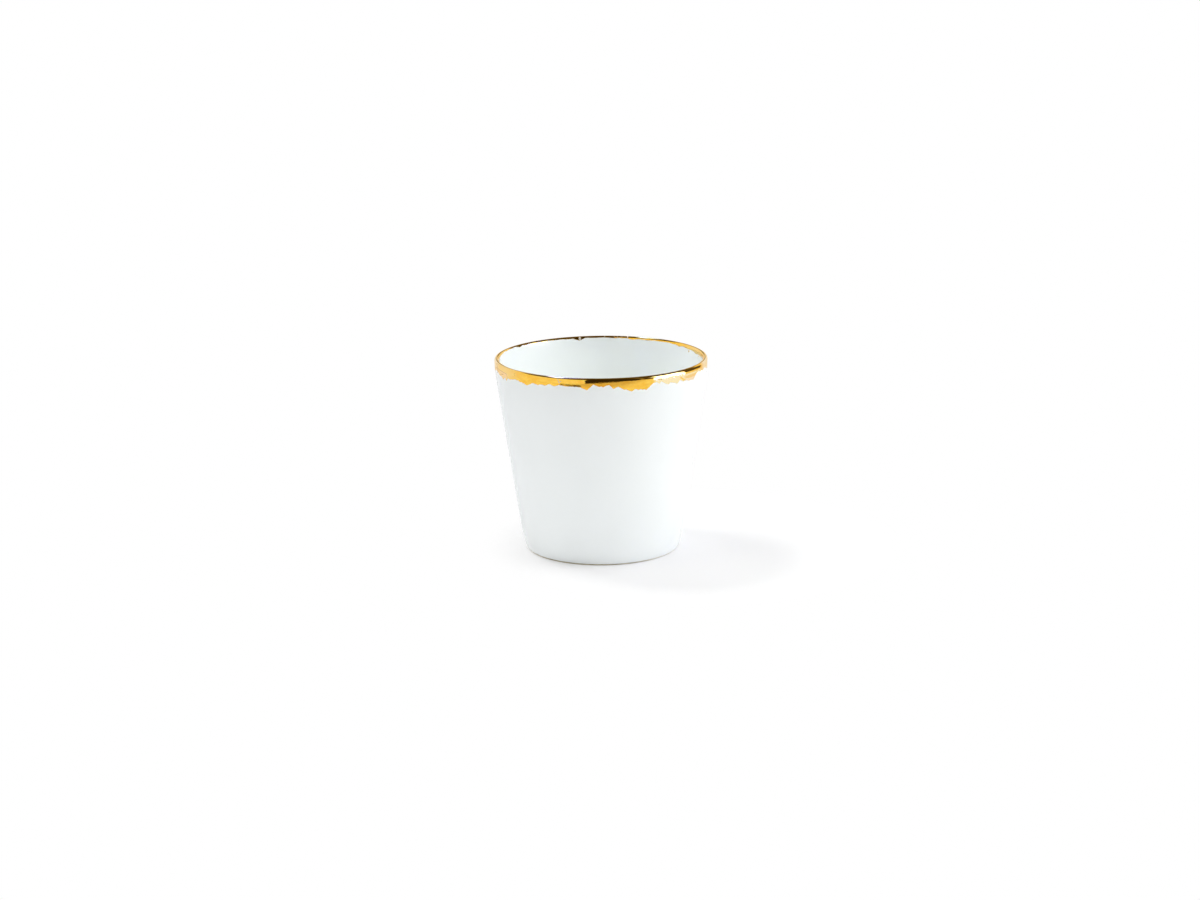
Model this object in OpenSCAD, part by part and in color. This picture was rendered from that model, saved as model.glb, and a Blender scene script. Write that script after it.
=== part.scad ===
// Handleless porcelain coffee cup with a gold rim brushed on over the glaze.
// The cup stands on the plane z = 0, centred on the Z axis, and its front faces -Y.
// Lengths are in millimetres. Angles around the cup run anticlockwise from the front.

/* [Cup] */
// Height from the table to the top of the glazed lip
cup_h = 55; // [50:0.5:64]
// Widest outer diameter, just below the top of the glazed lip
rim_d = 60; // [57:0.5:68]
// Outer diameter of the glazed wall where it would meet the table
foot_d = 43.6; // [41:0.2:46]
// Thickness of the rounded lip
lip_t = 1.3; // [1:0.1:2]
// Radius of the curve that brings the wall upright below the lip
shoulder_r = 39; // [20:1:60]
// Radius of the curve that draws the wall in above the foot
heel_r = 48; // [36:1:60]
// Lean of the wall away from upright where it would meet the table
heel_lean = 17; // [15:0.5:20]

/* [Well] */
// Inside diameter at the floor, before the corner is rounded
well_d = 41; // [36:0.5:42]
// Radius of the rounded corner between the inside wall and the floor
well_corner_r = 6; // [3:0.5:12]
// Thickness of the floor, with its glaze above and below
floor_t = 3.2; // [2:0.1:5]

/* [Foot ring] */
// Width of the flat land that the cup stands on
land_w = 1.6; // [1:0.1:2.4]
// Depth of the recess inside the foot ring, to the glaze
recess_h = 1.4; // [1.1:0.1:2.5]
// Radius of the rounded edges on both sides of the land
foot_edge_r = 0.2; // [0.1:0.05:0.35]
// Radius of the glazed corner at the ceiling of the recess
recess_corner_r = 0.7; // [0.4:0.1:1]
// Height of the bare band between the table and the outer glaze
bare_h = 0.4; // [0.3:0.05:0.7]

/* [Glaze and gold] */
// Thickness of the glaze
glaze_t = 0.2; // [0.14:0.02:0.3]
// Thickness of the gold film
gold_t = 0.08; // [0.06:0.01:0.12]
// How far the longest gold tooth comes down outside, from the top of the lip
gold_drop_out = 3.75; // [2.5:0.05:5]
// How far the longest gold tooth comes down inside, from the top of the lip
gold_drop_in = 1.5; // [1.2:0.1:2.4]
// Diameter of the larger stray fleck of gold inside
fleck_d = 0.6; // [0.4:0.05:1]

/* [Hidden] */
$fn = 96;

// Steps along each curve of the profile
heel_steps = 6;
shoulder_steps = 6;
lip_steps = 12;
corner_steps = 8;
edge_steps = 4;
// Cuts run past the surfaces that they cut by this much
overrun = 1;

// Teeth of the gold's outer edge across the front, as
// [angle of a notch, its drop, angle of the tooth's tip after it, its drop].
// The drops are shares of gold_drop_out.
front_teeth_shares = [
    [-76.5, 0.55, -69, 0.80],
    [-67.2, 0.78, -65, 1.00],
    [-62.5, 0.79, -61, 0.95],
    [-59, 0.71, -57, 0.78],
    [-51.5, 0.62, -48, 0.74],
    [-47, 0.72, -43, 0.87],
    [-38.3, 0.63, -35, 0.71],
    [-34, 0.66, -31, 0.69],
    [-28, 0.53, -25, 0.69],
    [-22.5, 0.57, -20.5, 0.60],
    [-17, 0.60, -12, 0.62],
    [-10.7, 0.64, -7.3, 0.83],
    [-4, 0.40, -1, 0.58],
    [0, 0.54, 1.2, 0.57],
    [4, 0.45, 6.3, 0.76],
    [8.8, 0.60, 11.7, 0.84],
    [13, 0.80, 16, 1.00],
    [18, 0.84, 19.7, 0.93],
    [21, 0.89, 22.2, 0.96],
    [23, 0.93, 24.1, 0.98],
    [28.3, 0.53, 29.2, 0.54],
    [30, 0.50, 32, 0.66],
    [33, 0.53, 38, 0.81],
    [39.2, 0.69, 44, 0.89],
    [46, 0.66, 49, 0.82],
    [50, 0.79, 54, 0.91],
    [55.5, 0.89, 58.2, 0.93],
    [62, 0.48, 62.8, 0.48],
    [64, 0.45, 66.5, 0.56],
    [68, 0.48, 71, 0.61],
    [74, 0.43, 78.5, 0.65]
];
// Teeth of the inner edge on the far wall, in the same form.
// The drops are shares of gold_drop_in.
inner_teeth_shares = [
    [90, 0.60, 94, 0.84],
    [99, 0.79, 102, 0.86],
    [104.3, 0.78, 107.5, 0.96],
    [114.5, 0.62, 118.7, 0.70],
    [124.2, 0.45, 128, 0.67],
    [131, 0.40, 133, 0.46],
    [137, 0.34, 142, 0.37],
    [147, 0.31, 151.5, 0.38],
    [157.5, 0.34, 161, 0.52],
    [165, 0.24, 167.5, 0.31],
    [169.2, 0.24, 172, 0.32],
    [178, 0.17, 185, 0.21],
    [189, 0.26, 192.5, 0.75],
    [196.5, 0.21, 199, 0.25],
    [204, 0.17, 209, 0.21],
    [212, 0.16, 214, 0.21],
    [218, 0.14, 223, 0.18],
    [225.5, 0.14, 229, 0.19],
    [232, 0.17, 234.5, 0.40],
    [238, 0.15, 243, 0.19],
    [245.5, 0.15, 249, 0.25],
    [251.5, 0.18, 255, 0.24]
];
// Stray flecks below the inner edge, as [angle, drop, diameter]: the drops are
// shares of gold_drop_in and the diameters shares of fleck_d
fleck_shares = [
    [103, 1.1, 0.85],
    [117.5, 1.03, 1]
];
// The rest of each edge is drawn at random: how many teeth it has, the least and the
// greatest drop of its notches and tips, and the seed of the draw
back_tooth_count = 36;
back_notch_shares = [0.50, 0.74];
back_tip_shares = [0.70, 1.00];
back_seed = 11;
near_tooth_count = 24;
near_notch_shares = [0.22, 0.40];
near_tip_shares = [0.36, 0.80];
near_seed = 5;
// Shares of a tooth's width: how far its notch may wander, and the range of its tip
wander_share = 0.3;
tip_place_shares = [0.4, 0.62];
// How much wider than its two tips a cut grows below them, as a share of the fall
spread_share = 0.04;

rim_r = rim_d / 2;
lip_r = lip_t / 2;
foot_r = foot_d / 2;
well_r = well_d / 2;
floor_z = recess_h + floor_t;
// The gold's two edges lie on the two sides of this radius
split_r = rim_r - lip_r;
// Height of the ring that the gold's teeth and flecks are cut from
gold_reach = overrun + max(
    gold_drop_out,
    max([for (fleck = fleck_shares) fleck[1]]) * gold_drop_in + fleck_d
);

// Centres of the curves of the glazed profile, as [radius, height]
lip_c = [rim_r - lip_r, cup_h - lip_r];
shoulder_c = [rim_r - shoulder_r, lip_c[1]];
heel_c = [foot_r - heel_r * cos(heel_lean), heel_r * sin(heel_lean)];
// Lean of the straight wall, tangent to the heel and the shoulder
wall_run = shoulder_c - heel_c;
wall_lean = acos((heel_r - shoulder_r) / norm(wall_run)) - atan2(wall_run[1], wall_run[0]);
// Lean of the inside wall, tangent to the lip and aimed at the edge of the floor
well_run = lip_c - [well_r, floor_z];
well_lean = acos(lip_r / norm(well_run)) - atan2(well_run[1], well_run[0]);
well_corner_c = [
    well_r - well_corner_r * (1 - sin(well_lean)) / cos(well_lean),
    floor_z + well_corner_r
];

// The unglazed surface of the heel, and the rounded edge that takes it to the table
bisque_heel_r = heel_r - glaze_t;
foot_edge_c = [
    heel_c[0] + sqrt(pow(bisque_heel_r - foot_edge_r, 2) - pow(heel_c[1] - foot_edge_r, 2)),
    foot_edge_r
];
foot_edge_lean = atan2(heel_c[1] - foot_edge_c[1], foot_edge_c[0] - heel_c[0]);
// Lean of the heel where the glaze stops
bare_lean = asin((heel_c[1] - bare_h) / bisque_heel_r);

// Inner side of the foot ring, at the bare porcelain
ring_r = foot_edge_c[0] - land_w - foot_edge_r;
recess_z = recess_h + glaze_t;
recess_corner_c = [ring_r - glaze_t - recess_corner_r, recess_h - recess_corner_r];

// Points of an arc around c, with tilts measured from the horizontal
function arc(c, r, from, to, steps) = [
    for (i = [0 : steps])
        let (tilt = from + (to - from) * i / steps)
        c + r * [cos(tilt), sin(tilt)]
];

// The profile at a depth below the glazed surface. A depth below zero lies above it.
function wall_above_heel(depth) = concat(
    arc(shoulder_c, shoulder_r - depth, -wall_lean, 0, shoulder_steps),
    [for (i = [1 : lip_steps]) arc(lip_c, lip_r - depth, 0, 180 - well_lean, lip_steps)[i]]
);
function heel(depth, lean) = arc(heel_c, heel_r - depth, -lean, -wall_lean, heel_steps);
function well_corner(depth) = arc(
    well_corner_c, -(well_corner_r + depth), 180 - well_lean, 90, corner_steps
);
function skin(depth, lean) = concat(
    heel(depth, lean),
    wall_above_heel(depth),
    well_corner(depth),
    [[0, floor_z - depth]]
);

// Rounded corner of the recess at a depth below its glaze
function recess_corner(depth) = arc(
    recess_corner_c, recess_corner_r + depth, 90, 0, corner_steps
);

function backwards(points) = [for (i = [len(points) - 1 : -1 : 0]) points[i]];

// Area between two profiles that run the same way
module between(outer, inner) {
    polygon(concat(outer, backwards(inner)));
}

module porcelain_body() {
    underside = concat(
        [[0, recess_z]],
        recess_corner(glaze_t),
        arc([ring_r + foot_edge_r, foot_edge_r], foot_edge_r, 180, 270, edge_steps)
    );
    outside_edge = arc(foot_edge_c, foot_edge_r, -90, -foot_edge_lean, edge_steps);
    bisque = skin(glaze_t, foot_edge_lean);
    color("#e4ddcf")
        rotate_extrude()
            polygon(concat(
                underside,
                outside_edge,
                [for (i = [1 : len(bisque) - 1]) bisque[i]]
            ));
}

module glaze_coat() {
    color("white")
        rotate_extrude()
            between(skin(0, bare_lean), skin(glaze_t, bare_lean));
}

module base_glaze() {
    // The coat ends on the ring at the same height as the coat outside
    visible = concat([[0, recess_h]], recess_corner(0), [[ring_r - glaze_t, bare_h]]);
    bonded = concat([[0, recess_z]], recess_corner(glaze_t), [[ring_r, bare_h]]);
    color("white")
        rotate_extrude()
            between(bonded, visible);
}

// A ring of gold over the lip, deep enough for the longest teeth and the flecks
module gold_shell() {
    intersection() {
        rotate_extrude()
            between(
                concat([heel(-gold_t, bare_lean)[heel_steps]], wall_above_heel(-gold_t),
                    [well_corner(-gold_t)[0]]),
                concat([heel(0, bare_lean)[heel_steps]], wall_above_heel(0),
                    [well_corner(0)[0]])
            );
        translate([0, 0, cup_h - gold_reach])
            cylinder(r = rim_r + overrun, h = gold_reach + overrun);
    }
}

// Teeth drawn at random from one angle to another, in the form of the tables
function drawn_teeth(from, to, count, notch_shares, tip_shares, seed) =
    let (
        pitch = (to - from) / count,
        draw = rands(0, 1, 4 * count, seed)
    )
    [
        for (i = [0 : count - 1])
            let (
                notch = from + pitch * (i + wander_share * draw[4 * i]),
                tip = notch + pitch * within(tip_place_shares, draw[4 * i + 2]) * (1 - wander_share)
            )
            [notch, within(notch_shares, draw[4 * i + 1]), tip, within(tip_shares, draw[4 * i + 3])]
    ];
function within(pair, share) = pair[0] + (pair[1] - pair[0]) * share;

outer_teeth = concat(
    front_teeth_shares,
    drawn_teeth(82, 281, back_tooth_count, back_notch_shares, back_tip_shares, back_seed)
);
inner_teeth = concat(
    inner_teeth_shares,
    drawn_teeth(264, 446, near_tooth_count, near_notch_shares, near_tip_shares, near_seed)
);

// Everything below one notch of a ragged edge, from the tip of the tooth before it to the
// tip of its own tooth, on the wall that lies between two distances from the axis
module below_notch(before, tooth, longest, r, from, to) {
    tip_before = [r * sin(before[2] - tooth[0]), cup_h - before[3] * longest];
    notch = [0, cup_h - tooth[1] * longest];
    tip = [r * sin(tooth[2] - tooth[0]), cup_h - tooth[3] * longest];
    low = cup_h - gold_reach - overrun;
    rotate([0, 0, tooth[0]])
        rotate([90, 0, 0])
            translate([0, 0, from])
                linear_extrude(height = to - from)
                    polygon([
                        [tip_before[0] - (tip_before[1] - low) * spread_share, low],
                        tip_before,
                        notch,
                        tip,
                        [tip[0] + (tip[1] - low) * spread_share, low]
                    ]);
}

module below_edge(teeth, longest, r, from, to) {
    last = len(teeth) - 1;
    for (i = [0 : last])
        below_notch(teeth[i == 0 ? last : i - 1], teeth[i], longest, r, from, to);
}

module gold_rim() {
    color("gold")
        difference() {
            gold_shell();
            below_edge(outer_teeth, gold_drop_out, rim_r, split_r, rim_r + overrun);
            below_edge(inner_teeth, gold_drop_in, rim_r - lip_t, rim_r / 2, split_r);
        }
}

module gold_flecks() {
    color("gold")
        for (fleck = fleck_shares)
            intersection() {
                gold_shell();
                rotate([0, 0, fleck[0]])
                    translate([0, 0, cup_h - fleck[1] * gold_drop_in])
                        rotate([90, 0, 0])
                            cylinder(d = fleck[2] * fleck_d, h = split_r);
            }
}

porcelain_body();
glaze_coat();
base_glaze();
gold_rim();
gold_flecks();
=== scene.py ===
import random
from math import acos, asin, atan2, cos, degrees, pi, radians, sin, sqrt, tan

import bmesh
import bpy
from mathutils import Matrix, Vector, noise


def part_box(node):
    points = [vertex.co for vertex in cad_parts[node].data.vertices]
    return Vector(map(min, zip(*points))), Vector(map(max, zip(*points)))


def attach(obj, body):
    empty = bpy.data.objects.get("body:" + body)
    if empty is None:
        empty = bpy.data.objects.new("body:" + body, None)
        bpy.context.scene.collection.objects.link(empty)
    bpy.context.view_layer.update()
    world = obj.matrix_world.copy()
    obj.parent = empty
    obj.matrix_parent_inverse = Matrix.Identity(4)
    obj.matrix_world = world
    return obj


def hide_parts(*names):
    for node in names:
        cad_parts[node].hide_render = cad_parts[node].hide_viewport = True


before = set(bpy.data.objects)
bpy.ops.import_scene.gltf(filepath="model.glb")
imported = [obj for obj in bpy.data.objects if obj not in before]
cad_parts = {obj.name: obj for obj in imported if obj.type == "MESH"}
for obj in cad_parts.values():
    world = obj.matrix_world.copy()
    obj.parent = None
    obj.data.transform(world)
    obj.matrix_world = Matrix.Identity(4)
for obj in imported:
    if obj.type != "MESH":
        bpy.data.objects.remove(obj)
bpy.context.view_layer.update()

# The cup stands on z = 0, centred on the Z axis, with its front towards -Y.
# Angles around it run anticlockwise from the front. Lengths are in metres.
MM = 0.001

# Sizes read from the frame
_, body_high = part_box("porcelain_body")
_, coat_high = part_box("glaze_coat")
recess_low, recess_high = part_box("base_glaze")
rim_r = coat_high.x
cup_h = coat_high.z
glaze_t = cup_h - body_high.z
ring_r = recess_high.x
recess_z = recess_high.z
bare_h = recess_low.z

# Sizes that the frame's boxes don't show
lip_r = 0.65 * MM
foot_r = 21.8 * MM
shoulder_r = 39 * MM
heel_r = 48 * MM
heel_lean = radians(17)
well_r = 20.5 * MM
well_corner_r = 6 * MM
floor_t = 3.2 * MM
foot_edge_r = 0.2 * MM
recess_corner_r = 0.7 * MM
floor_z = recess_z - glaze_t + floor_t

# Centres of the curves of the glazed profile, as (radius, height), and the leans of
# the straight walls between them
lip_c = Vector((rim_r - lip_r, cup_h - lip_r))
shoulder_c = Vector((rim_r - shoulder_r, lip_c.y))
heel_c = Vector((foot_r - heel_r * cos(heel_lean), heel_r * sin(heel_lean)))
wall_run = shoulder_c - heel_c
wall_lean = acos((heel_r - shoulder_r) / wall_run.length) - atan2(wall_run.y, wall_run.x)
well_run = lip_c - Vector((well_r, floor_z))
well_lean = acos(lip_r / well_run.length) - atan2(well_run.y, well_run.x)
well_corner_c = Vector((
    well_r - well_corner_r * (1 - sin(well_lean)) / cos(well_lean),
    floor_z + well_corner_r,
))

# The inside wall is thrown with a slight outward bow, fullest at a third of its height
well_bow = 0.26 * MM
down_well = Vector((-sin(well_lean), -cos(well_lean)))
out_of_well = Vector((cos(well_lean), -sin(well_lean)))
wall_length = (well_corner_c - lip_c).dot(down_well)

# The bare foot ring below the glaze
bisque_heel_r = heel_r - glaze_t
foot_edge_c = Vector((
    heel_c.x + sqrt((bisque_heel_r - foot_edge_r) ** 2 - (heel_c.y - foot_edge_r) ** 2),
    foot_edge_r,
))
foot_edge_lean = atan2(heel_c.y - foot_edge_c.y, foot_edge_c.x - heel_c.x)
bare_lean = asin((heel_c.y - bare_h) / bisque_heel_r)
recess_corner_c = Vector((ring_r - glaze_t - recess_corner_r, recess_z - glaze_t - recess_corner_r))

# Gold: how thick the film looks, how deep it is bedded in the glaze, and how far its
# longest teeth come down from the top of the lip
film_t = 0.035 * MM
film_bed = 0.01 * MM
drop_out = 3.75 * MM
drop_in = 1.5 * MM

# Teeth of the gold's outer edge across the front, as
# (angle of a notch, its drop, angle of the tooth's tip after it, its drop).
# The drops are shares of drop_out.
FRONT_TEETH = [
    (-76.5, 0.55, -69, 0.80),
    (-67.2, 0.78, -65, 1.00),
    (-62.5, 0.79, -61, 0.95),
    (-59, 0.71, -57, 0.78),
    (-51.5, 0.62, -48, 0.74),
    (-47, 0.72, -43, 0.87),
    (-38.3, 0.63, -35, 0.71),
    (-34, 0.66, -31, 0.69),
    (-28, 0.53, -25, 0.69),
    (-22.5, 0.57, -20.5, 0.60),
    (-17, 0.60, -12, 0.62),
    (-10.7, 0.64, -7.3, 0.83),
    (-4, 0.40, -1, 0.58),
    (0, 0.54, 1.2, 0.57),
    (4, 0.45, 6.3, 0.76),
    (8.8, 0.60, 11.7, 0.84),
    (13, 0.80, 16, 1.00),
    (18, 0.84, 19.7, 0.93),
    (21, 0.89, 22.2, 0.96),
    (23, 0.93, 24.1, 0.98),
    (28.3, 0.53, 29.2, 0.54),
    (30, 0.50, 32, 0.66),
    (33, 0.53, 38, 0.81),
    (39.2, 0.69, 44, 0.89),
    (46, 0.66, 49, 0.82),
    (50, 0.79, 54, 0.91),
    (55.5, 0.89, 58.2, 0.93),
    (62, 0.48, 62.8, 0.48),
    (64, 0.45, 66.5, 0.56),
    (68, 0.48, 71, 0.61),
    (74, 0.43, 78.5, 0.65),
]
# Teeth of the inner edge on the far wall, in the same form.
# The drops are shares of drop_in.
INNER_TEETH = [
    (90, 0.60, 94, 0.84),
    (99, 0.79, 102, 0.86),
    (104.3, 0.78, 107.5, 0.96),
    (114.5, 0.62, 118.7, 0.70),
    (124.2, 0.45, 128, 0.67),
    (131, 0.40, 133, 0.46),
    (137, 0.34, 142, 0.37),
    (147, 0.35, 151.5, 0.41),
    (157.5, 0.34, 161, 0.52),
    (165, 0.29, 167.5, 0.36),
    (169.2, 0.29, 172, 0.37),
    (178, 0.26, 185, 0.30),
    (189, 0.26, 192.5, 0.75),
    (196.5, 0.28, 199, 0.32),
    (204, 0.25, 209, 0.29),
    (212, 0.25, 214, 0.31),
    (218, 0.23, 223, 0.28),
    (225.5, 0.22, 229, 0.28),
    (232, 0.17, 234.5, 0.40),
    (238, 0.15, 243, 0.19),
    (245.5, 0.15, 249, 0.25),
    (251.5, 0.18, 255, 0.24),
]
# Waves that make the gold's edges uneven, as (fineness, strength)
EDGE_WAVES = [(20, 1), (62, 0.6), (166, 0.5)]
# Stray flecks of gold inside, as (angle, drop, diameter), and how far and how finely they
# swell out of round
FLECKS = [
    (103, 1.65 * MM, 0.5 * MM),
    (117.5, 1.54 * MM, 0.6 * MM),
]
FLECK_SWELL = 0.35
FLECK_LUMPS = 2.3

# Pale patches on the outside of the gold: thin washes of film, made paler by painted
# reflections of bright surroundings, nearly white at the cup's two sides. As (first angle,
# last angle, blur of both, the drop in millimetres below which the patch lies, colour)
WASHES_AND_REFLECTIONS = [
    (-100, -54, 22, -1, (0.94, 0.70, 0.30)),
    (-100, -75, 14, -1, (0.97, 0.91, 0.82)),
    (-100, -83, 10, -1, (1.00, 0.98, 0.96)),
    (70, 100, 8, -1, (0.97, 0.93, 0.86)),
    (79, 100, 10, -1, (1.00, 0.98, 0.96)),
    (-84, -60, 5, 1.45, (0.93, 0.70, 0.42)),
    (29, 68, 3, 1.15, (0.97, 0.81, 0.47)),
    (50, 63, 3, 1.65, (0.95, 0.64, 0.27)),
    (50, 66, 3, 2.5, (0.97, 0.76, 0.52)),
]
# Marks that the brush left in the gold, as (angle and drop in millimetres where a stroke
# starts, the same where it ends, its width in millimetres, how far the gold is missing
# in it, colour). Those beyond a quarter turn from the front lie inside the lip.
PINK = (0.68, 0.46, 0.40)
BROWN = (0.60, 0.34, 0.13)
MARKS = [
    (-23.1, 0.45, -22.4, 1.45, 0.16, 0.9, PINK),
    (-22.4, 1.45, -21.2, 0.90, 0.13, 0.8, PINK),
    (-22.2, 1.75, -22.0, 2.10, 0.16, 0.6, PINK),
    (-52.1, 0.75, -52.9, 1.10, 0.08, 0.5, BROWN),
    (-52.9, 1.10, -52.2, 1.45, 0.08, 0.5, BROWN),
    (-32.6, 2.55, -30.8, 2.70, 0.30, 0.7, (0.66, 0.50, 0.46)),
    (-78.5, 1.45, -71.5, 1.30, 0.14, 0.3, (0.78, 0.52, 0.27)),
    (-71.5, 1.40, -60.5, 1.62, 0.22, 0.3, (0.82, 0.55, 0.28)),
    (-69.0, 2.60, -64.5, 2.10, 0.26, 0.3, (0.84, 0.52, 0.22)),
    (-60.6, 1.70, -59.8, 2.70, 0.28, 0.2, (0.88, 0.58, 0.24)),
    (30.5, 1.10, 33.6, 1.38, 0.15, 0.3, (0.25, 0.12, 0.02)),
    (46.3, 1.75, 50.3, 3.05, 0.55, 0.0, (0.95, 0.62, 0.15)),
    (51.5, 2.30, 56.5, 2.45, 0.35, 0.0, (0.95, 0.66, 0.26)),
    (164.1, -0.2, 164.1, 0.70, 0.26, 0.9, (0.80, 0.66, 0.56)),
    (167.5, -0.2, 167.5, 0.50, 0.10, 0.8, (0.62, 0.45, 0.33)),
    (170.3, -0.2, 170.3, 0.50, 0.10, 0.8, (0.62, 0.45, 0.33)),
    (172.1, -0.2, 172.1, 0.50, 0.08, 0.8, (0.55, 0.40, 0.28)),
    (177.6, -0.2, 177.6, 0.30, 0.20, 0.6, (0.55, 0.55, 0.45)),
    (192.3, 0.42, 192.3, 0.75, 0.80, 0.7, (0.84, 0.77, 0.70)),
]


# Shader graphs

class Wire:
    """An output of a shader node. Operators on wires add Math nodes."""

    def __init__(self, graph, node, output):
        self.graph = graph
        self.node = node
        self.socket = node.outputs[output]

    def output(self, name):
        """Another output of the same node."""
        return Wire(self.graph, self.node, name)

    def math(self, operation, *values):
        """Adds a Math node on some values."""
        return self.graph.add("ShaderNodeMath", {"operation": operation}, dict(enumerate(values)))

    def __add__(self, other):
        return self.math("ADD", self, other)

    def __sub__(self, other):
        return self.math("SUBTRACT", self, other)

    def __mul__(self, other):
        return self.math("MULTIPLY", self, other)

    def __radd__(self, other):
        return self.math("ADD", other, self)

    def __rsub__(self, other):
        return self.math("SUBTRACT", other, self)

    def __rmul__(self, other):
        return self.math("MULTIPLY", other, self)

    def __neg__(self):
        return self.math("MULTIPLY", self, -1)

    def above(self, low, high):
        """Rises smoothly from 0 at low to 1 at high."""
        return self.graph.add(
            "ShaderNodeMapRange",
            {"interpolation_type": "SMOOTHSTEP"},
            {"Value": self, "From Min": low, "From Max": high},
        )

    def clamped(self):
        """Held between 0 and 1."""
        return self.graph.add("ShaderNodeClamp", {}, {"Value": self})

    def within(self, low, high, edge):
        """1 between low and high, falling to 0 across edge on both sides."""
        rise = self.above(low - edge / 2, low + edge / 2)
        fall = self.above(high - edge / 2, high + edge / 2)
        return rise * (1 - fall)


class Graph:
    """The shader nodes of a material or of the world."""

    def __init__(self, owner):
        owner.use_nodes = True
        self.tree = owner.node_tree
        self.tree.nodes.clear()

    def add(self, kind, settings=None, inputs=None, output=0):
        """Adds a node, sets it up, fills its sockets and gives one of its outputs."""
        node = self.tree.nodes.new(kind)
        for name, value in (settings or {}).items():
            setattr(node, name, value)
        for name, value in (inputs or {}).items():
            if isinstance(value, Wire):
                self.tree.links.new(value.socket, node.inputs[name])
            else:
                node.inputs[name].default_value = value
        return Wire(self, node, output) if len(node.outputs) else node

    def mix(self, share, first, second):
        """A colour between two, at a share of the way."""
        return self.add(
            "ShaderNodeMix", {"data_type": "RGBA"}, {0: share, 6: first, 7: second}, output=2
        )

    def scaled(self, vector, by):
        """A vector multiplied part by part."""
        return self.add("ShaderNodeVectorMath", {"operation": "MULTIPLY"}, {0: vector, 1: by})

    def noise(self, place, scale, detail=2.0, roughness=0.5):
        """Smooth noise from 0 to 1 on a place, at a number of waves to the metre."""
        return self.add(
            "ShaderNodeTexNoise", {},
            {"Vector": place, "Scale": scale, "Detail": detail, "Roughness": roughness},
        )

    def bump(self, height, distance, normal=None):
        """The normal on a relief of a height from 0 to 1 times a distance."""
        inputs = {"Height": height, "Distance": distance}
        if normal is not None:
            inputs["Normal"] = normal
        return self.add("ShaderNodeBump", {}, inputs)


def surface(name, build, **constants):
    """A material with a Principled shader that build fills in."""
    material = bpy.data.materials.new(name)
    graph = Graph(material)
    place = graph.add("ShaderNodeTexCoord", output="Object")
    sockets = {**constants, **build(graph, place)}
    shader = graph.add("ShaderNodeBsdfPrincipled", {}, sockets)
    graph.add("ShaderNodeOutputMaterial", {}, {"Surface": shader})
    return material


# Tones of the glaze, between which it clouds, and a darker, greener tone of painted shade deep
# inside the well
GLAZE_TONE = (0.876, 0.910, 0.908, 1)
GLAZE_CLOUD = (0.896, 0.926, 0.926, 1)
GLAZE_WELL_SHADE = (0.838, 0.868, 0.822, 1)
# How far the glaze takes on its painted-shade tone, and the depths between which it does
WELL_SHADE_SHARE = 0.6
WELL_SHADE_FROM = 1 * MM
WELL_SHADE_TO = 16 * MM
# How wide the change from the outside to the inside is at the lip
LIP_BLUR = 0.4 * MM
# Heights of the relief that blurs what the glaze mirrors, the roughness of the glaze, and
# what its orange peel adds
RIPPLE_HEIGHT = 0.003 * MM
PEEL_HEIGHT = 0.0002 * MM
GLAZE_ROUGH = 0.035
PEEL_ROUGH = 0.03


def glaze_finish(graph, place):
    """Glossy glaze, slightly clouded, with painted shade deepening inside the well."""
    x = graph.add("ShaderNodeSeparateXYZ", {}, {"Vector": place})
    y = x.output("Y")
    depth = cup_h - x.output("Z")
    # Inside, painted shade makes the glaze a little darker and greener with depth.
    # The distance from the axis is carried up along the mean of the two walls, so that one
    # limit at the lip parts the inside from the outside.
    off_axis = x.math("SQRT", x * x + y * y) + depth * tan((wall_lean + well_lean) / 2)
    inside = 1 - off_axis.above(lip_c.x - LIP_BLUR / 2, lip_c.x + LIP_BLUR / 2)
    well_shade = WELL_SHADE_SHARE * inside * depth.above(WELL_SHADE_FROM, WELL_SHADE_TO)
    cloud = graph.noise(place, scale=90, detail=3)
    ripple = graph.noise(place, scale=130)
    peel = graph.noise(place, scale=900)
    colour = graph.mix(cloud, GLAZE_TONE, GLAZE_CLOUD)
    colour = graph.mix(well_shade, colour, GLAZE_WELL_SHADE)
    wave = graph.bump(ripple, RIPPLE_HEIGHT)
    return {
        "Base Color": colour,
        "Roughness": GLAZE_ROUGH + PEEL_ROUGH * peel,
        "Normal": graph.bump(peel, PEEL_HEIGHT, wave),
    }


# Tones of the bare porcelain: dark and pale grains, stains, and a paler tone of painted light on
# its +X side
BISQUE_DARK = (0.46, 0.40, 0.25, 1)
BISQUE_PALE = (0.62, 0.55, 0.38, 1)
BISQUE_STAIN = (0.32, 0.26, 0.14, 1)
BISQUE_LIT_SIDE = (0.80, 0.77, 0.68, 1)
# The levels of noise between which stains set in, the place towards +X by which painted
# light makes the ring paler, and the height of the grain
STAIN_FROM = 0.45
STAIN_TO = 0.75
LIT_SIDE_X = 0.9 * foot_r
GRAIN_HEIGHT = 0.03 * MM


def bisque_finish(graph, place):
    """Bare, grainy porcelain, stained by use, and paler towards +X with painted light."""
    grain = graph.noise(place, scale=4200, detail=3, roughness=0.65)
    stain = graph.noise(place, scale=420, detail=3)
    bare = graph.mix(grain, BISQUE_DARK, BISQUE_PALE)
    stained = graph.mix(stain.above(STAIN_FROM, STAIN_TO), bare, BISQUE_STAIN)
    x = graph.add("ShaderNodeSeparateXYZ", {}, {"Vector": place})
    # Painted light: the ring turns paler towards +X, as if lit from that side
    colour = graph.mix(x.above(0, LIT_SIDE_X), stained, BISQUE_LIT_SIDE)
    return {"Base Color": colour, "Normal": graph.bump(grain, GRAIN_HEIGHT)}


# Shares of its width off its middle line at which a stroke of the brush begins to fade
# and at which it is gone
STROKE_CORE = 0.30
STROKE_REACH = 0.62


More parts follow.
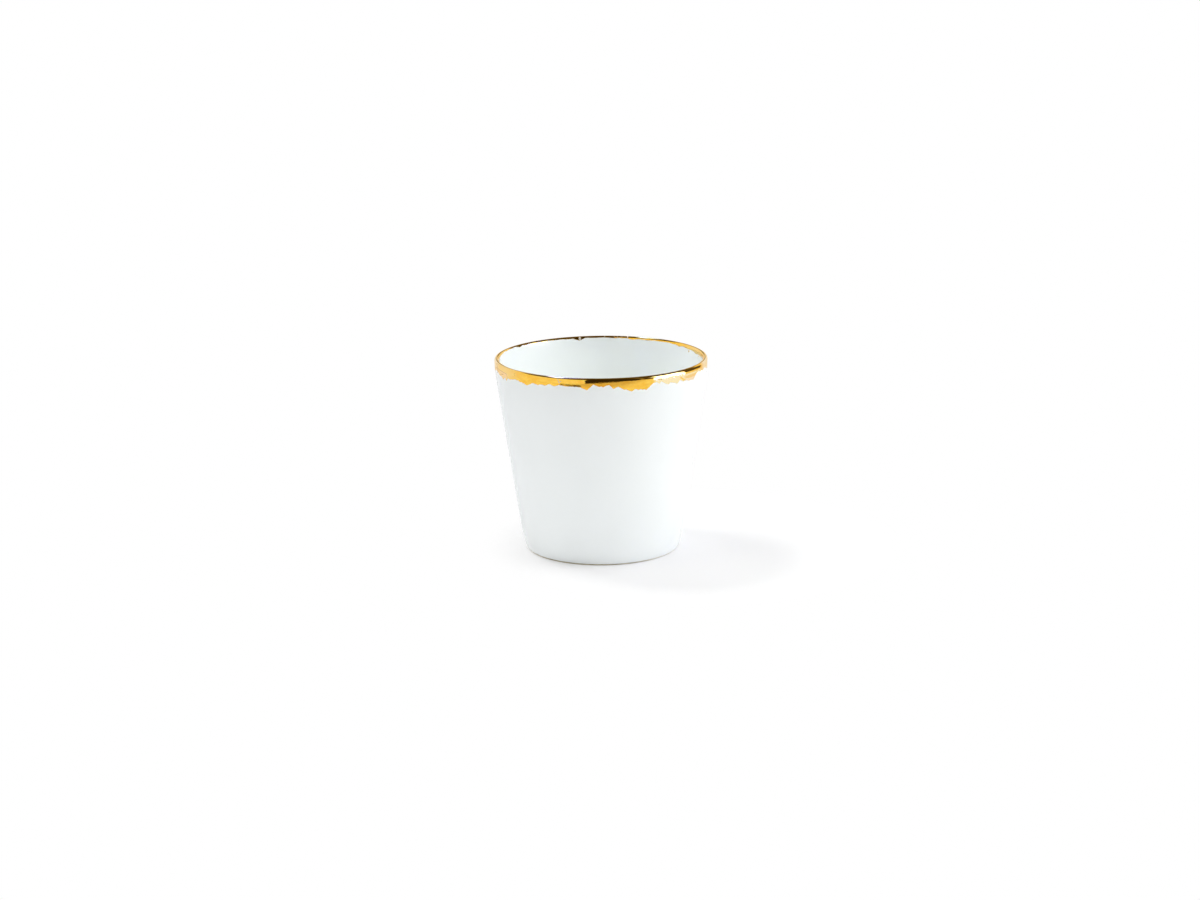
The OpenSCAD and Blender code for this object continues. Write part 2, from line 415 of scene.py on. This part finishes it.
def stroke(across, down, start, end, width):
    """1 on a straight stroke between two places, all in the units of across and down."""
    from_x = across - start[0]
    from_y = down - start[1]
    step_x = end[0] - start[0]
    step_y = end[1] - start[1]
    along = ((from_x * step_x + from_y * step_y) * (1 / (step_x ** 2 + step_y ** 2))).clamped()
    off_x = from_x - along * step_x
    off_y = from_y - along * step_y
    off = off_x.math("SQRT", off_x * off_x + off_y * off_y)
    return 1 - off.above(width * STROKE_CORE, width * STROKE_REACH)


# Tones of the gold, between which it is streaked, and its paler tone inside the lip, of thin film
# and painted reflection
GOLD_DEEP = (0.94, 0.52, 0.045, 1)
GOLD_BRIGHT = (0.98, 0.62, 0.100, 1)
GOLD_PALE_INSIDE = (0.97, 0.80, 0.45, 1)
# How much narrower its streaks are upwards than around the rim, and the levels of noise
# between which they change tone
STREAK_SQUEEZE = 2.2
STREAK_FROM = 0.35
STREAK_TO = 0.68
# How far the tops of the pale washes and painted reflections run ragged, and how far above
# and below them they set in, in millimetres
PALE_TOP_RAGGED = 0.9
PALE_TOP_ABOVE = 0.15
PALE_TOP_BELOW = 0.25
# How far the gold inside the lip at the cup's two sides and in front of them takes its
# paler tone of thin film and painted reflection, and the distances behind the axis across
# which this fades
PALE_INSIDE_SHARE = 0.8
PALE_INSIDE_FROM = 6 * MM
PALE_INSIDE_TO = 20 * MM
# Heights of the relief of the brush strokes and of the grain in them, the roughness of
# the gold, and what the grain adds
STROKE_HEIGHT = 0.006 * MM
GOLD_GRAIN_HEIGHT = 0.0006 * MM
GOLD_ROUGH = 0.02
GRAIN_ROUGH = 0.05
# How far the marks of the brush waver, in millimetres
MARK_SHAKE = 0.10
# Angles below this one count on past a half turn
TURN_FROM = -90.5
# Weight of the clear coat over the gold, on the half of the cup towards the front
FRONT_COAT = 0.35


def gold_finish(graph, place):
    """Mirror-bright gold, streaked by the brush, with its washes, painted reflections and marks."""
    x = graph.add("ShaderNodeSeparateXYZ", {}, {"Vector": place})
    y = x.output("Y")
    z = x.output("Z")
    angle = x.math("ARCTAN2", x, -y) * degrees(1)
    outside = x.math("SQRT", x * x + y * y).above(lip_c.x, lip_c.x + lip_r / 2)
    ragged = graph.noise(place, scale=900, detail=3, roughness=0.6) - 0.5
    # Millimetres below the top of the lip, even and ragged
    level = (cup_h - z) * (1 / MM)
    drop = level + PALE_TOP_RAGGED * ragged
    squeezed = graph.scaled(place, (1, 1, STREAK_SQUEEZE))
    strokes = graph.noise(squeezed, scale=480, detail=4, roughness=0.6)
    grain = graph.noise(place, scale=2600, detail=3, roughness=0.6)
    colour = graph.mix(strokes.above(STREAK_FROM, STREAK_TO), GOLD_DEEP, GOLD_BRIGHT)
    # Where the brush ran dry the film is thin and pale, and painted reflections of bright
    # surroundings make the gold paler, nearly white at the two sides
    for first, last, blur, top, tone in WASHES_AND_REFLECTIONS:
        below = drop.above(top - PALE_TOP_ABOVE, top + PALE_TOP_BELOW)
        share = angle.within(first, last, blur) * below * outside
        colour = graph.mix(share, colour, (*tone, 1))
    # Inside the lip, towards the two sides, the gold is paler too: the film is thin, and a painted
    # reflection pales it
    pale_inside = (1 - outside) * (1 - y.above(PALE_INSIDE_FROM, PALE_INSIDE_TO))
    colour = graph.mix(PALE_INSIDE_SHARE * pale_inside, colour, GOLD_PALE_INSIDE)
    # Angles that run on past a half turn
    round_angle = angle + 360 * (1 - angle.above(TURN_FROM, TURN_FROM + 0.1))
    # Marks are drawn in millimetres, of which a degree of the rim has so many
    pitch = rim_r / MM * radians(1)
    shaky = MARK_SHAKE * ragged
    metal = 1.0
    for first, top, last, foot, width, missing, tone in MARKS:
        front = abs(first) < 90
        around = (angle if front else round_angle) * pitch + shaky
        share = stroke(around, level + shaky, (first * pitch, top), (last * pitch, foot), width)
        share = share * (outside if front else 1 - outside)
        colour = graph.mix(share, colour, (*tone, 1))
        metal = metal - missing * share
    wave = graph.bump(strokes, STROKE_HEIGHT)
    front_half = (-y).above(-5 * MM, 5 * MM)
    return {
        "Base Color": colour,
        "Coat Weight": FRONT_COAT * front_half,
        "Metallic": metal.clamped(),
        "Roughness": GOLD_ROUGH + GRAIN_ROUGH * grain,
        "Normal": graph.bump(grain, GOLD_GRAIN_HEIGHT, wave),
    }


GLAZE = surface("porcelain glaze", glaze_finish, IOR=1.5)
BISQUE = surface("bare porcelain", bisque_finish, Roughness=0.85)
GOLD = surface(
    "brushed-on gold", gold_finish,
    **{"Specular Tint": (0.95, 0.75, 0.45, 1), "Coat Roughness": 0.03},
)


# Profiles

def on_circle(centre, radius, tilt):
    """The point of a circle at a tilt from the horizontal."""
    return centre + radius * Vector((cos(tilt), sin(tilt)))


def arc(centre, radius, start, end, steps):
    """Points of an arc from one tilt to another."""
    return [
        on_circle(centre, radius, start + (end - start) * i / steps) for i in range(steps + 1)
    ]


def inside_wall(run, depth):
    """The point of the inside wall at a run below the lip and a depth below the glaze."""
    top = lip_c - (lip_r - depth) * out_of_well
    share = run / wall_length
    # The curve of the bow is highest at a third, where it is 4 / 27
    bow = well_bow * share * (1 - share) ** 2 * 27 / 4
    return top + run * down_well + bow * out_of_well


def skin(depth, lean, wall_steps=24):
    """The profile at a depth below the glaze, from the foot over the lip to the well."""
    return (
        arc(heel_c, heel_r - depth, -lean, -wall_lean, steps=10)
        + arc(shoulder_c, shoulder_r - depth, -wall_lean, 0, steps=16)
        + arc(lip_c, lip_r - depth, 0, pi - well_lean, steps=24)[1:]
        + [inside_wall(wall_length * i / wall_steps, depth) for i in range(1, wall_steps)]
        + arc(well_corner_c, -(well_corner_r + depth), pi - well_lean, pi / 2, steps=16)
        + [Vector((0, floor_z - depth))]
    )


def recess_corner(depth):
    """The rounded corner of the recess under the foot, at a depth below its glaze."""
    return arc(recess_corner_c, recess_corner_r + depth, pi / 2, 0, steps=10)


def glaze_end(steps=6):
    """The rounded end of the outer glaze, from the porcelain out to the glaze's face."""
    points = []
    for i in range(steps):
        turn = pi / 2 * i / steps
        depth = glaze_t * (1 - sin(turn))
        lean = bare_lean - glaze_t * (1 - cos(turn)) / heel_r
        points.append(on_circle(heel_c, heel_r - depth, -lean))
    return points


def bisque_profile():
    """The porcelain: the recess, the bare foot ring, and all that the glaze covers."""
    inner_edge_c = Vector((ring_r + foot_edge_r, foot_edge_r))
    inner_edge = arc(inner_edge_c, foot_edge_r, pi, 3 * pi / 2, steps=8)
    outer_edge = arc(foot_edge_c, foot_edge_r, -pi / 2, -foot_edge_lean, steps=8)
    underside = [Vector((0, recess_z))] + recess_corner(glaze_t) + inner_edge + outer_edge
    return underside + skin(glaze_t, foot_edge_lean)[1:]


def coat_profile():
    """The glaze over the cup: its side on the porcelain, its rounded end and its face."""
    bonded = skin(glaze_t, bare_lean)
    face = skin(0, bare_lean - glaze_t / heel_r)
    return bonded[::-1] + glaze_end()[1:] + face


def recess_profile():
    """The glaze of the recess, with its end on the ring rounded."""
    end_c = Vector((ring_r, bare_h + glaze_t))
    face = [Vector((0, recess_z - glaze_t))] + recess_corner(0)
    end = arc(end_c, glaze_t, pi, 3 * pi / 2, steps=6)
    bonded = recess_corner(glaze_t)[::-1] + [Vector((0, recess_z))]
    return face + end + bonded


# Pieces

def new_object(bm, name, material):
    """An object with the mesh of a bmesh and a material."""
    mesh = bpy.data.meshes.new(name)
    bm.to_mesh(mesh)
    bm.free()
    mesh.materials.append(material)
    made = bpy.data.objects.new(name, mesh)
    bpy.context.collection.objects.link(made)
    return made


def finish_piece(bm, name, material, slot, *nodes, sharp=40):
    """Makes a bmesh a piece of the cup that stands for CAD nodes."""
    piece = new_object(bm, name, material)
    piece.data.shade_smooth()
    piece.data.set_sharp_from_angle(angle=radians(sharp))
    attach(piece, "root")
    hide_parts(*nodes)
    return piece


def wrapped_grid(columns, rows, place):
    """A bmesh of a grid wrapped once around the Z axis. The function place gives the
    (radius, height) of a vertex from its column and its row."""
    bm = bmesh.new()
    bmesh.ops.create_grid(bm, x_segments=columns, y_segments=rows - 1, size=1)
    for vert in bm.verts:
        column = round((vert.co.x + 1) / 2 * columns)
        row = round((vert.co.y + 1) / 2 * (rows - 1))
        r, z = place(column % columns, row)
        turn = 2 * pi * column / columns
        vert.co = (r * sin(turn), -r * cos(turn), z)
    # The last column lies on the first, and a row on the axis is one point
    bmesh.ops.remove_doubles(bm, verts=bm.verts, dist=1e-7)
    bmesh.ops.recalc_face_normals(bm, faces=bm.faces)
    return bm


def lathe(profile, steps=256):
    """A bmesh of a profile of (radius, height) turned once around the Z axis."""
    return wrapped_grid(steps, len(profile), lambda column, row: profile[row])


def on_glaze(run, lift):
    """(radius, height) of the point that lies a run down the outside from the top of the
    lip, or down the inside where the run is below zero, at a lift above the glaze."""
    lip_out = lip_r * pi / 2
    lip_in = lip_r * (pi / 2 - well_lean)
    shoulder = shoulder_r * wall_lean
    if run < -lip_in:
        return inside_wall(-lip_in - run, -lift)
    if run < lip_out:
        return on_circle(lip_c, lip_r + lift, pi / 2 - run / lip_r)
    if run < lip_out + shoulder:
        return on_circle(shoulder_c, shoulder_r + lift, -(run - lip_out) / shoulder_r)
    along = run - lip_out - shoulder
    top = on_circle(shoulder_c, shoulder_r + lift, -wall_lean)
    return top - along * Vector((sin(wall_lean), cos(wall_lean)))


def run_outside(drop):
    """The run down the outside from the top of the lip to a drop below it."""
    if drop < lip_r:
        return lip_r * acos(1 - drop / lip_r)
    return lip_r * pi / 2 + drop - lip_r


def run_inside(drop):
    """The run down the inside, which counts below zero."""
    lip_drop = lip_r * (1 - sin(well_lean))
    if drop < lip_drop:
        return -lip_r * acos(1 - drop / lip_r)
    return -lip_r * (pi / 2 - well_lean) - (drop - lip_drop) / cos(well_lean)


def drawn_teeth(start, end, count, notches, tips, seed):
    """Teeth drawn at random, in the form of the tables."""
    # How far a notch lies into its pitch, and the tip beyond it, as shares of the pitch
    notch_shift = (0, 0.3)
    tip_shift = (0.28, 0.43)
    draw = random.Random(seed)
    pitch = (end - start) / count
    teeth = []
    for i in range(count):
        notch = start + pitch * (i + draw.uniform(*notch_shift))
        tip = notch + pitch * draw.uniform(*tip_shift)
        teeth.append((notch, draw.uniform(*notches), tip, draw.uniform(*tips)))
    return teeth


def ragged_edge(teeth, longest, wobble, seed, count):
    """How far an edge of the gold comes down in each of a number of columns around the cup."""
    corners = []
    for notch, low, tip, high in teeth:
        corners += [(notch % 360, low * longest), (tip % 360, high * longest)]
    corners.sort()
    one_before = (corners[-1][0] - 360, corners[-1][1])
    one_after = (corners[0][0] + 360, corners[0][1])
    corners = [one_before] + corners + [one_after]
    drops = []
    i = 0
    for column in range(count):
        angle = 360 * column / count
        while corners[i + 1][0] < angle:
            i += 1
        (before, high), (after, low) = corners[i], corners[i + 1]
        straight = high + (low - high) * (angle - before) / (after - before)
        turn = radians(angle)
        spot = Vector((cos(turn), sin(turn), 0))
        rough = 0
        for fineness, strength in EDGE_WAVES:
            rough += strength * noise.noise(spot * fineness + Vector((0, 0, seed)))
        drops.append(straight + wobble * rough)
    return drops


def spread(low, high, count):
    """A number of even steps from low towards high, without high itself."""
    return [low + (high - low) * i / count for i in range(count)]


def gold_film():
    """The band of gold over the lip, with its vertices pulled to the two ragged edges."""
    columns = 1200
    # Rows as shares between the inner edge and the lip, runs over the lip, and shares
    # between the lip and the outer edge. A narrow hem follows each edge.
    inner_rows = 4
    lip_rows = 10
    outer_rows = 11
    lip_from = -0.2 * MM
    lip_to = 1.15 * MM
    hem = 0.05 * MM
    back_teeth = drawn_teeth(
        start=82, end=281, count=36, notches=(0.50, 0.74), tips=(0.70, 1.00), seed=11
    )
    near_teeth = drawn_teeth(
        start=264, end=446, count=24, notches=(0.22, 0.40), tips=(0.36, 0.80), seed=5
    )
    outer = ragged_edge(
        FRONT_TEETH + back_teeth, longest=drop_out, wobble=0.14 * MM, seed=3.5, count=columns
    )
    inner = ragged_edge(
        INNER_TEETH + near_teeth, longest=drop_in, wobble=0.03 * MM, seed=8.5, count=columns
    )
    runs = []
    for low, high in zip(inner, outer):
        first = min(run_inside(low), lip_from - 2 * hem)
        last = run_outside(high)
        runs.append(
            [first]
            + spread(first + hem, lip_from, inner_rows)
            + spread(lip_from, lip_to, lip_rows)
            + spread(lip_to, last - hem, outer_rows)
            + [last - hem, last]
        )
    bm = wrapped_grid(
        columns, len(runs[0]), lambda column, row: on_glaze(runs[column][row], -film_bed)
    )
    piece = finish_piece(bm, "gold_film", GOLD, "gold", "gold_rim", sharp=80)
    thickness = piece.modifiers.new("film", "SOLIDIFY")
    thickness.thickness = film_t + film_bed
    thickness.offset = 1


def gold_fleck_pieces():
    """Small domed spots of gold on the inside wall."""
    bm = bmesh.new()
    for angle, drop, diameter in FLECKS:
        made = bmesh.ops.create_uvsphere(bm, u_segments=32, v_segments=12, radius=diameter / 2)
        for vert in made["verts"]:
            lump = noise.noise(vert.co.normalized() * FLECK_LUMPS + Vector((angle, 0, 0)))
            across, down, lift = vert.co * (1 + FLECK_SWELL * lump)
            # The dome is pressed as flat as the film
            r, z = on_glaze(run_inside(drop) - down, lift * film_t / diameter * 2)
            turn = radians(angle) + across / r
            vert.co = (r * sin(turn), -r * cos(turn), z)
    bmesh.ops.recalc_face_normals(bm, faces=bm.faces)
    finish_piece(bm, "gold_fleck_spots", GOLD, "gold", "gold_flecks", sharp=80)


finish_piece(lathe(bisque_profile()), "bisque", BISQUE, "bisque", "porcelain_body")
finish_piece(lathe(coat_profile()), "glaze", GLAZE, "glaze", "glaze_coat")
finish_piece(lathe(recess_profile()), "recess_glaze", GLAZE, "glaze", "base_glaze")
gold_film()
gold_fleck_pieces()


# Studio. Directions are azimuths from the camera's side (-Y), growing towards +X, and
# elevations above the horizon, in degrees.

# What the cup mirrors: the dark room, and the colour of a soft box, which is bluish so
# that it looks white in the gold
ROOM = (0.060, 0.045, 0.028)
SOFT_BOX = (3.50, 5.00, 16.00)
# What else is mirrored around the cup, as (first azimuth, last azimuth, lowest elevation,
# highest elevation, blur of its sides, blur of its top, colour). Later rows lie over
# earlier ones.
PANELS = [
    (-181, -130, 12, 80, 4, 8, (0.15, 0.13, 0.09)),
    (130, 181, 12, 80, 4, 8, (0.15, 0.13, 0.09)),
    (-181, -168, -20, 12, 1, 6, (0.98, 0.96, 0.93)),
    (-168, -150, -20, 40, 6, 6, (0.98, 0.96, 0.93)),
    (-150, -95, -20, 44, 6, 4, (0.98, 0.96, 0.93)),
    (-100, -17, -20, 44, 1.2, 8, (1.00, 1.00, 1.00)),
    (134, 170, -20, 29, 6, 5, (0.98, 0.93, 0.82)),
    (170, 181, -20, 12, 1, 6, (0.98, 0.93, 0.82)),
    (-17, 42, -20, 70, 1.2, 10, (0.036, 0.026, 0.012)),
    (101, 133, -20, 36, 2, 10, (0.11, 0.08, 0.04)),
    (42.5, 46.5, -20, 60, 1.5, 10, (0.30, 0.27, 0.25)),
    (51, 57, -20, 60, 3, 10, (0.14, 0.10, 0.05)),
    (60, 100, -20, 37, 1.5, 6, SOFT_BOX),
    (59, 101, -2, 8, 1.5, 1, (2.50, 2.30, 2.30)),
]
# Blur of the panels' feet
FOOT_BLUR = 0.6
# Even light on everything that doesn't mirror the room
FILL = (0.20, 0.20, 0.20)
# A long tube light behind the cup and to its left: the normal of a plane through the cup
# beside which it lies, how far its two sides are off that plane and how far they blur, as
# sines, its colour, and the elevations and azimuths across which its two ends fade
TUBE_NORMAL = (0.905, -0.226, 0.362)
TUBE_OFF_PLANE = (-0.070, 0.018)
TUBE_BLUR = 0.02
TUBE_COLOUR = (2.1, 3.5, 22.0)
TUBE_LOW_END = (34, 42)
TUBE_FAR_END = (-135, -100)

# The round table: its radius, its centre, and how far its top lies below the cup's foot
TABLE_R = 0.2395
TABLE_C = (0.040, -0.0135)
TABLE_GAP = 0.01 * MM
# How pale the lit part of the table is for the light that it throws on the cup, and how
# pale as it is seen or mirrored
TABLE_THROWS = (0.92, 0.92, 0.92, 1)
TABLE_SEEN = (0.736, 0.736, 0.736, 1)
# Share of the table that is lit, and not simply white, around the place of the shadow,
# and the distances from there across which this share fades
SHADOW_SHARE = 0.62
SHADOW_PLACE = (0.025, 0, 0)
SHADOW_FADE = (0.040, 0.060)
# How the cup mirrors the front of the table, and the distances in front of the axis across
# which this sets in
TABLE_FRONT = (0.74, 0.66, 0.55)
FRONT_FADE = (0.165, 0.215)
# How the cup mirrors the table behind it to its left, the distances behind the axis between
# which it does, their blur, and where this fades towards the right
TABLE_BACK = (0.92, 0.93, 0.95)
BACK_DEPTHS = (0.01, 0.19)
BACK_BLUR = 0.02
BACK_SIDE = (-0.02, 0.01)
WHITE = (1, 1, 1, 1)

# Two strips on the table: a near-black one, painted shade that stands in for the dark gap
# at a card's foot, and a bright card. The two ends of each, as (azimuth, nearest distance,
# farthest distance), the darkness of the first, and the height of both above the cup's foot
SHADOW_GAP_STRIP = [(-42.3, 0.211, 0.219), (-20.1, 0.197, 0.214)]
BRIGHT_CARD = [(55, 0.253, 0.310), (98, 0.252, 0.310)]
NEAR_BLACK = (0.01, 0.01, 0.01)
CARD_Z = 0.1 * MM

# Soft boxes that light the cup and aren't mirrored in it, as
# (name, azimuth, elevation, distance, side, power in watts)
LAMPS = [
    ("key box", -125, 62, 0.8, 0.20, 2.75),
    ("upper left box", -75, 45, 0.7, 0.4, 1.40),
    ("upper right box", 72, 45, 0.7, 0.4, 2.00),
    ("high right box", 100, 60, 0.7, 0.4, 2.30),
    ("right box", 80, 15, 0.7, 0.5, 0.32),
    ("front box", 0, 5, 0.7, 0.5, 0.68),
    ("back box", 180, 20, 0.7, 0.5, 1.60),
]


def studio():
    """The room as the cup mirrors it, white as the camera sees it."""
    world = bpy.data.worlds.new("studio")
    bpy.context.scene.world = world
    graph = Graph(world)
    direction = graph.add("ShaderNodeTexCoord", output="Generated")
    x = graph.add("ShaderNodeSeparateXYZ", {}, {"Vector": direction})
    azimuth = x.math("ARCTAN2", x, -x.output("Y")) * degrees(1)
    elevation = x.math("ARCSINE", x.output("Z")) * degrees(1)
    light = (*ROOM, 1)
    for first, last, low, high, side_blur, top_blur, colour in PANELS:
        share = azimuth.within(first, last, side_blur)
        share = share * elevation.above(low - FOOT_BLUR / 2, low + FOOT_BLUR / 2)
        share = share * (1 - elevation.above(high - top_blur / 2, high + top_blur / 2))
        light = graph.mix(share, light, (*colour, 1))
    off_plane = graph.add(
        "ShaderNodeVectorMath",
        {"operation": "DOT_PRODUCT"},
        {0: direction, 1: TUBE_NORMAL},
        output="Value",
    )
    tube = off_plane.within(*TUBE_OFF_PLANE, TUBE_BLUR)
    tube = tube * elevation.above(*TUBE_LOW_END) * (1 - azimuth.above(*TUBE_FAR_END))
    light = graph.mix(tube, light, (*TUBE_COLOUR, 1))
    ray = graph.add("ShaderNodeLightPath", output="Is Camera Ray")
    fill = graph.mix(ray.output("Is Glossy Ray"), (*FILL, 1), light)
    backdrop = graph.mix(ray, fill, WHITE)
    shader = graph.add("ShaderNodeBackground", {}, {"Color": backdrop, "Strength": 1.0})
    graph.add("ShaderNodeOutputWorld", {}, {"Surface": shader})


def table_finish():
    """The table's material. Seen or mirrored, it is partly white and partly lit."""
    material = bpy.data.materials.new("pale floor")
    graph = Graph(material)
    ray = graph.add("ShaderNodeLightPath", output="Is Camera Ray")
    glossy = ray.output("Is Glossy Ray")
    seen = ray.math("MAXIMUM", ray, glossy)
    seen = ray.math("MAXIMUM", seen, ray.output("Is Transmission Ray"))
    place = graph.add("ShaderNodeTexCoord", output="Object")
    x = graph.add("ShaderNodeSeparateXYZ", {}, {"Vector": place})
    y = x.output("Y")
    from_shadow = graph.add(
        "ShaderNodeVectorMath",
        {"operation": "DISTANCE"},
        {0: place, 1: SHADOW_PLACE},
        output="Value",
    )
    white = seen * (1 - SHADOW_SHARE * (1 - from_shadow.above(*SHADOW_FADE)))
    paleness = graph.mix(seen, TABLE_THROWS, TABLE_SEEN)
    lit = graph.add("ShaderNodeBsdfDiffuse", {}, {"Color": paleness})
    in_front = (-y).above(*FRONT_FADE)
    behind = y.within(*BACK_DEPTHS, BACK_BLUR) * (1 - x.above(*BACK_SIDE))
    tone = graph.mix(in_front * glossy, WHITE, (*TABLE_FRONT, 1))
    tone = graph.mix(behind * glossy, tone, (*TABLE_BACK, 1))
    glow = graph.add("ShaderNodeEmission", {}, {"Color": tone, "Strength": 1.0})
    top = graph.add("ShaderNodeMixShader", {}, {0: white, 1: lit, 2: glow})
    # From below, the table is clear
    under = graph.add("ShaderNodeNewGeometry", output="Backfacing")
    clear = graph.add("ShaderNodeBsdfTransparent")
    shader = graph.add("ShaderNodeMixShader", {}, {0: under, 1: top, 2: clear})
    graph.add("ShaderNodeOutputMaterial", {}, {"Surface": shader})
    return material


def pale_floor():
    """The studio's round table. It looks white, and takes the shadow around the cup."""
    bm = bmesh.new()
    bmesh.ops.create_circle(bm, cap_ends=True, segments=192, radius=TABLE_R)
    bmesh.ops.translate(bm, vec=(*TABLE_C, -TABLE_GAP), verts=bm.verts)
    new_object(bm, "pale_floor", table_finish())


def card(name, first, last, colour, steps=12):
    """A flat strip of one brightness on the table, which is seen only where it is mirrored.
    It runs around the cup between two ends, in a number of steps."""
    material = bpy.data.materials.new(name)
    graph = Graph(material)
    shader = graph.add("ShaderNodeEmission", {}, {"Color": (*colour, 1), "Strength": 1.0})
    graph.add("ShaderNodeOutputMaterial", {}, {"Surface": shader})
    bm = bmesh.new()
    pairs = []
    for i in range(steps + 1):
        azimuth, near, far = Vector(first).lerp(Vector(last), i / steps)
        turn = radians(azimuth)
        pairs.append([bm.verts.new((r * sin(turn), -r * cos(turn), CARD_Z)) for r in (near, far)])
    for (near, far), (next_near, next_far) in zip(pairs, pairs[1:]):
        bm.faces.new([near, far, next_far, next_near])
    strip = new_object(bm, name, material)
    strip.visible_camera = False
    strip.visible_diffuse = False
    strip.visible_shadow = False


def soft_box(name, azimuth, elevation, distance, side, power):
    """A square lamp in a direction from the cup, aimed at it."""
    across = radians(azimuth)
    up = radians(elevation)
    out = Vector((sin(across) * cos(up), -cos(across) * cos(up), sin(up)))
    light = bpy.data.lights.new(name, "AREA")
    light.shape = "SQUARE"
    light.size = side
    light.energy = power
    box = bpy.data.objects.new(name, light)
    bpy.context.collection.objects.link(box)
    box.location = Vector((0, 0, cup_h / 2)) + distance * out
    box.rotation_euler = out.to_track_quat("Z", "Y").to_euler()
    box.visible_glossy = False


def camera():
    """The photograph's viewpoint."""
    distance = 0.6643
    tilt = radians(14.122)
    roll = radians(0.539)
    aim = Vector((-0.0005, 0, 0.02774))
    width_px = 1200
    focal_px = 2332
    data = bpy.data.cameras.new("camera")
    data.sensor_width = 36
    data.lens = data.sensor_width * focal_px / width_px
    data.clip_start = 0.01
    eye = bpy.data.objects.new("camera", data)
    bpy.context.collection.objects.link(eye)
    back = Vector((0, -cos(tilt), sin(tilt)))
    turned = back.to_track_quat("Z", "Y").to_matrix().to_4x4()
    rolled = turned @ Matrix.Rotation(-roll, 4, "Z")
    eye.matrix_world = Matrix.Translation(aim + distance * back) @ rolled
    bpy.context.scene.camera = eye


studio()
pale_floor()
# Painted shade: a near-black strip, mirrored as the dark gap at a card's foot
card("shadow gap strip", *SHADOW_GAP_STRIP, NEAR_BLACK)
card("bright card", *BRIGHT_CARD, SOFT_BOX)
for lamp in LAMPS:
    soft_box(*lamp)
camera()
bpy.context.scene.view_settings.view_transform = "Standard"
